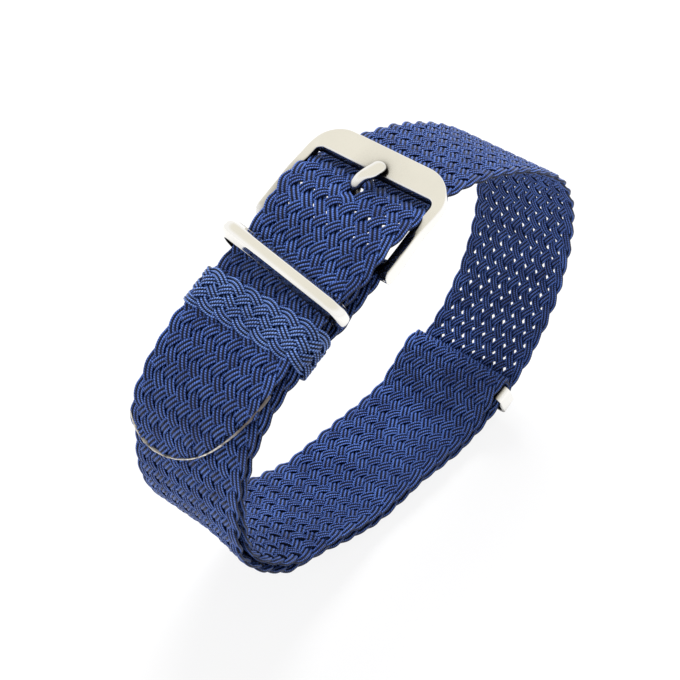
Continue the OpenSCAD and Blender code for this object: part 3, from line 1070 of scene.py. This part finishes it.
def new_material(name):
    """An empty material and the calls that build it."""
    material = bpy.data.materials.new(name)
    material.use_nodes = True
    return material, Nodes(material.node_tree)


def nylon_material(name, colours, sheen, roughness):
    """Twisted cords: painted shade between them, with painted highlights on the plies along each, silky and a
    little uneven.
    """
    material, nodes = new_material(name)
    dark, middle, light = [srgb(*colour) for colour in colours]
    along, around = nodes.along_and_around()
    plies = nodes.wave(along, 1 / TWIST_PITCH, around, turns=5.0)
    fine = nodes.wave(along, 11.0, around, turns=34.0)
    # cords is 1 on each cord and 0 in the groove between two: it paints shade into the grooves and shapes the
    # bump.
    cords = nodes.sine(nodes.math("MULTIPLY_ADD", around, CORDS_ROUND, -0.25))
    tint = nodes.add("ShaderNodeAttribute", attribute_name="tint").outputs["Fac"]
    place = nodes.place()
    cloud = nodes.noise(place, scale=240.0, detail=3.0)
    speck = nodes.noise(place, scale=2400.0, detail=2.0)
    # Painted highlight: the plies' waves lighten each cord towards the light colour; the cloud, tint and
    # speck add tone that differs at random.
    level = nodes.math("MULTIPLY", plies, 0.7)
    level = nodes.math("MULTIPLY_ADD", fine, 0.12, level)
    level = nodes.above(level, cloud, share=0.7)
    level = nodes.above(level, tint, share=0.2)
    level = nodes.above(level, speck, share=0.5)
    cord_painted_highlight = nodes.mix(nodes.ramp(level, 0.1, 0.9), middle, light)
    height = nodes.math("MULTIPLY_ADD", plies, 0.35, nodes.math("MULTIPLY_ADD", fine, 0.1, cords))
    nodes.principled({
        # Painted shade: the grooves between cords go to the dark colour.
        "Base Color": nodes.mix(nodes.ramp(cords, 0.25, 0.95), dark, cord_painted_highlight),
        "Roughness": nodes.ramp(cloud, 0.3, 0.7, roughness - 0.06, roughness + 0.08),
        "Normal": nodes.bump(height, strength=0.7, distance=0.00012),
        "Specular IOR Level": 0.22,
        "Sheen Weight": sheen,
        "Sheen Roughness": 0.3,
        "Sheen Tint": srgb(*SHEEN_COLOUR),
    })
    return material


def steel_material(name, colour, smooth, worn):
    """Polished steel: almost a mirror, with faint wiping marks, and a painted dark-brown reflection where it
    nears the band.
    """
    material, nodes = new_material(name)
    bright = srgb(*colour)
    dull = [part * 0.96 for part in bright[:3]] + [1]
    place = nodes.place()
    stretch = nodes.add("ShaderNodeMapping", {"Vector": place, "Scale": (900.0, 120.0, 900.0)}).outputs[0]
    marks = nodes.noise(stretch, scale=1.0, detail=4.0)
    cloud = nodes.noise(place, scale=180.0, detail=2.0)
    # Painted reflection: ambient occlusion finds where the steel nears the band, and there its colour goes to
    # dark brown and its roughness rises.
    painted_reflection_fade = nodes.add("ShaderNodeAmbientOcclusion", {"Distance": 0.004}, samples=8).outputs["AO"]
    painted_reflection_fade = nodes.ramp(painted_reflection_fade, 0.6, 0.95)
    shade = nodes.mix(nodes.ramp(cloud, 0.35, 0.7), dull, bright)
    rough = nodes.ramp(nodes.math("MULTIPLY", marks, cloud), 0.15, 0.4, smooth, worn)
    nodes.principled({
        "Base Color": nodes.mix(painted_reflection_fade, srgb(*PAINTED_REFLECTION_COLOUR), shade),
        "Metallic": 1.0,
        "Roughness": nodes.math("MULTIPLY_ADD", nodes.math("SUBTRACT", 1.0, painted_reflection_fade), 0.22, rough),
        "Normal": nodes.bump(marks, strength=0.015, distance=0.00001),
    })
    return material


def melted_material():
    """Nylon melted by the hot cutter: glassy and slightly uneven, brown at one end and pale from there."""
    material, nodes = new_material("melted_edge")
    along, _ = nodes.along_and_around()
    cloud = nodes.noise(nodes.place(), scale=900.0, detail=3.0)
    pale = nodes.mix(nodes.ramp(cloud, 0.35, 0.55), srgb(120, 116, 112), srgb(208, 202, 190))
    nodes.principled({
        "Base Color": nodes.mix(nodes.ramp(along, 7.0, 12.0), srgb(84, 74, 66), pale),
        "Roughness": nodes.ramp(cloud, 0.3, 0.7, 0.2, 0.45),
        "Normal": nodes.bump(cloud, strength=0.4, distance=0.00008),
    })
    return material


def floor_material():
    """White to the camera and in the steel, but still a surface that takes the shadow."""
    material, nodes = new_material("studio_floor")
    paths = nodes.add("ShaderNodeLightPath").outputs
    seen = nodes.math("MAXIMUM", paths["Is Camera Ray"], paths["Is Glossy Ray"])
    seen = nodes.math("MAXIMUM", seen, paths["Is Transmission Ray"])
    grain = nodes.noise(nodes.place(), scale=30.0, detail=2.0)
    colour = nodes.mix(grain, srgb(236, 236, 238), srgb(242, 242, 244))
    paper = nodes.add("ShaderNodeBsdfDiffuse", {"Color": colour}).outputs[0]
    glow = nodes.add("ShaderNodeEmission", {"Color": WHITE, "Strength": 1.0}).outputs[0]
    glowing = nodes.math("MULTIPLY", seen, FLOOR_GLOW)
    nodes.surface(nodes.blend(glowing, paper, glow))
    return material


# Studio


def make_floor():
    """A wide plain floor, just under the strap."""
    size = FLOOR_HALF_SIZE
    mesh = bpy.data.meshes.new("floor")
    outline = [(-size, -size, 0), (size, -size, 0), (size, size, 0), (-size, size, 0)]
    mesh.from_pydata(outline, [], [(0, 1, 2, 3)])
    floor = bpy.data.objects.new("floor", mesh)
    floor.location.z = -FLOOR_DROP
    bpy.context.scene.collection.objects.link(floor)
    mesh.materials.append(floor_material())


def make_world():
    """White to the camera, soft on the object, and in the steel a cream ceiling over a white horizon."""
    world = bpy.data.worlds.new("studio")
    bpy.context.scene.world = world
    world.use_nodes = True
    nodes = Nodes(world.node_tree)
    paths = nodes.add("ShaderNodeLightPath").outputs
    way = nodes.add("ShaderNodeTexCoord").outputs["Generated"]
    upward = nodes.add("ShaderNodeSeparateXYZ", {0: way}).outputs[2]
    ceiling = nodes.mix(nodes.ramp(upward, 0.45, 0.8), WHITE, srgb(*CEILING_COLOUR))
    mirrored = nodes.math("MAXIMUM", paths["Is Glossy Ray"], paths["Is Transmission Ray"])
    light = nodes.blend(mirrored, nodes.background(WHITE, SKY_LIGHT), nodes.background(ceiling))
    light = nodes.blend(paths["Is Camera Ray"], light, nodes.background(WHITE))
    nodes.add("ShaderNodeOutputWorld", {"Surface": light})


def make_light(name, place, power):
    """A soft round lamp aimed at the strap. It isn't mirrored, so no lamp shows in the steel."""
    data = bpy.data.lights.new(name, "AREA")
    data.shape = "DISK"
    data.size = LIGHT_SIZE
    data.energy = power
    light = bpy.data.objects.new(name, data)
    light.visible_glossy = False
    light.location = place
    way = Vector(LIGHT_AIM) - Vector(place)
    light.rotation_euler = way.to_track_quat("-Z", "Y").to_euler()
    bpy.context.scene.collection.objects.link(light)


def make_camera():
    """The photograph's camera."""
    forward = Vector(CAMERA_AIM).normalized()
    right = forward.cross(Vector((0, 0, 1))).normalized()
    up = right.cross(forward)
    turn = Matrix((right, up, -forward)).transposed().to_4x4()
    data = bpy.data.cameras.new("camera")
    data.angle = math.radians(CAMERA_FIELD)
    data.clip_start = 0.01
    camera = bpy.data.objects.new("camera", data)
    camera.matrix_world = Matrix.Translation(Vector(CAMERA_PLACE)) @ turn
    bpy.context.scene.collection.objects.link(camera)
    bpy.context.scene.camera = camera


def dress_node(frame, node, material):
    """Gives a carried-over CAD node its material."""
    obj = frame["nodes"][node]
    obj.data.materials.clear()
    obj.data.materials.append(material)


def make_fabric():
    """The braids, the cut edge and the seams."""
    nylon = nylon_material("band_nylon", BAND_SHADE_COLOUR_HIGHLIGHT, sheen=0.4, roughness=0.36)
    bright = nylon_material("keeper_nylon", KEEPER_SHADE_COLOUR_HIGHLIGHT, sheen=0.25, roughness=0.3)
    thread = nylon_material("stitch_thread", THREAD_SHADE_COLOUR_HIGHLIGHT, sheen=0.2, roughness=0.45)
    strip = MainStrip()
    make_main_band(strip, nylon)
    make_tail_edge(strip, melted_material())
    make_retaining_band(nylon)
    make_keeper(bright)
    for name, (node, place) in HEAD_SEAMS.items():
        make_stitches(name, node, head, place, HEAD_SEAM_LEVELS, thread)
    make_stitches("stitches_end_ring", "seam_end_ring", ring_frame, RING_SEAM, RING_SEAM_LEVELS, thread)


def make_steel(frame):
    """The buckle, the tongue, both rings and the spring bar."""
    steel = steel_material("polished_steel", STEEL_COLOUR, smooth=0.04, worn=0.09)
    wire = steel_material("spring_steel", SPRING_COLOUR, smooth=0.22, worn=0.34)
    make_buckle(steel)
    make_tongue(steel)
    make_ring("ring_keeper_steel", "ring_keeper", "keeper_ring", head, steel, sloped_section(), **RING_KEEPER)
    flat = rounded_section(END_RING_LENGTH, END_RING["wall"], END_RING_EDGE)
    make_ring("end_ring_steel", "end_ring", "loop_ring", ring_frame, steel, flat, **END_RING)
    for node in ("spring_bar_tube", "spring_bar_pin_left", "spring_bar_pin_right"):
        dress_node(frame, node, steel)
    dress_node(frame, "spring_bar_spring", wire)


def make_studio():
    """The floor, the world, the lamps and the camera."""
    make_floor()
    make_world()
    make_light("key", KEY_PLACE, KEY_POWER)
    make_light("fill", FILL_PLACE, FILL_POWER)
    make_camera()
    bpy.context.scene.view_settings.view_transform = "Standard"


def main():
    """Dresses the frame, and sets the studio."""
    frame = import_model()
    make_fabric()
    make_steel(frame)
    make_studio()


main()
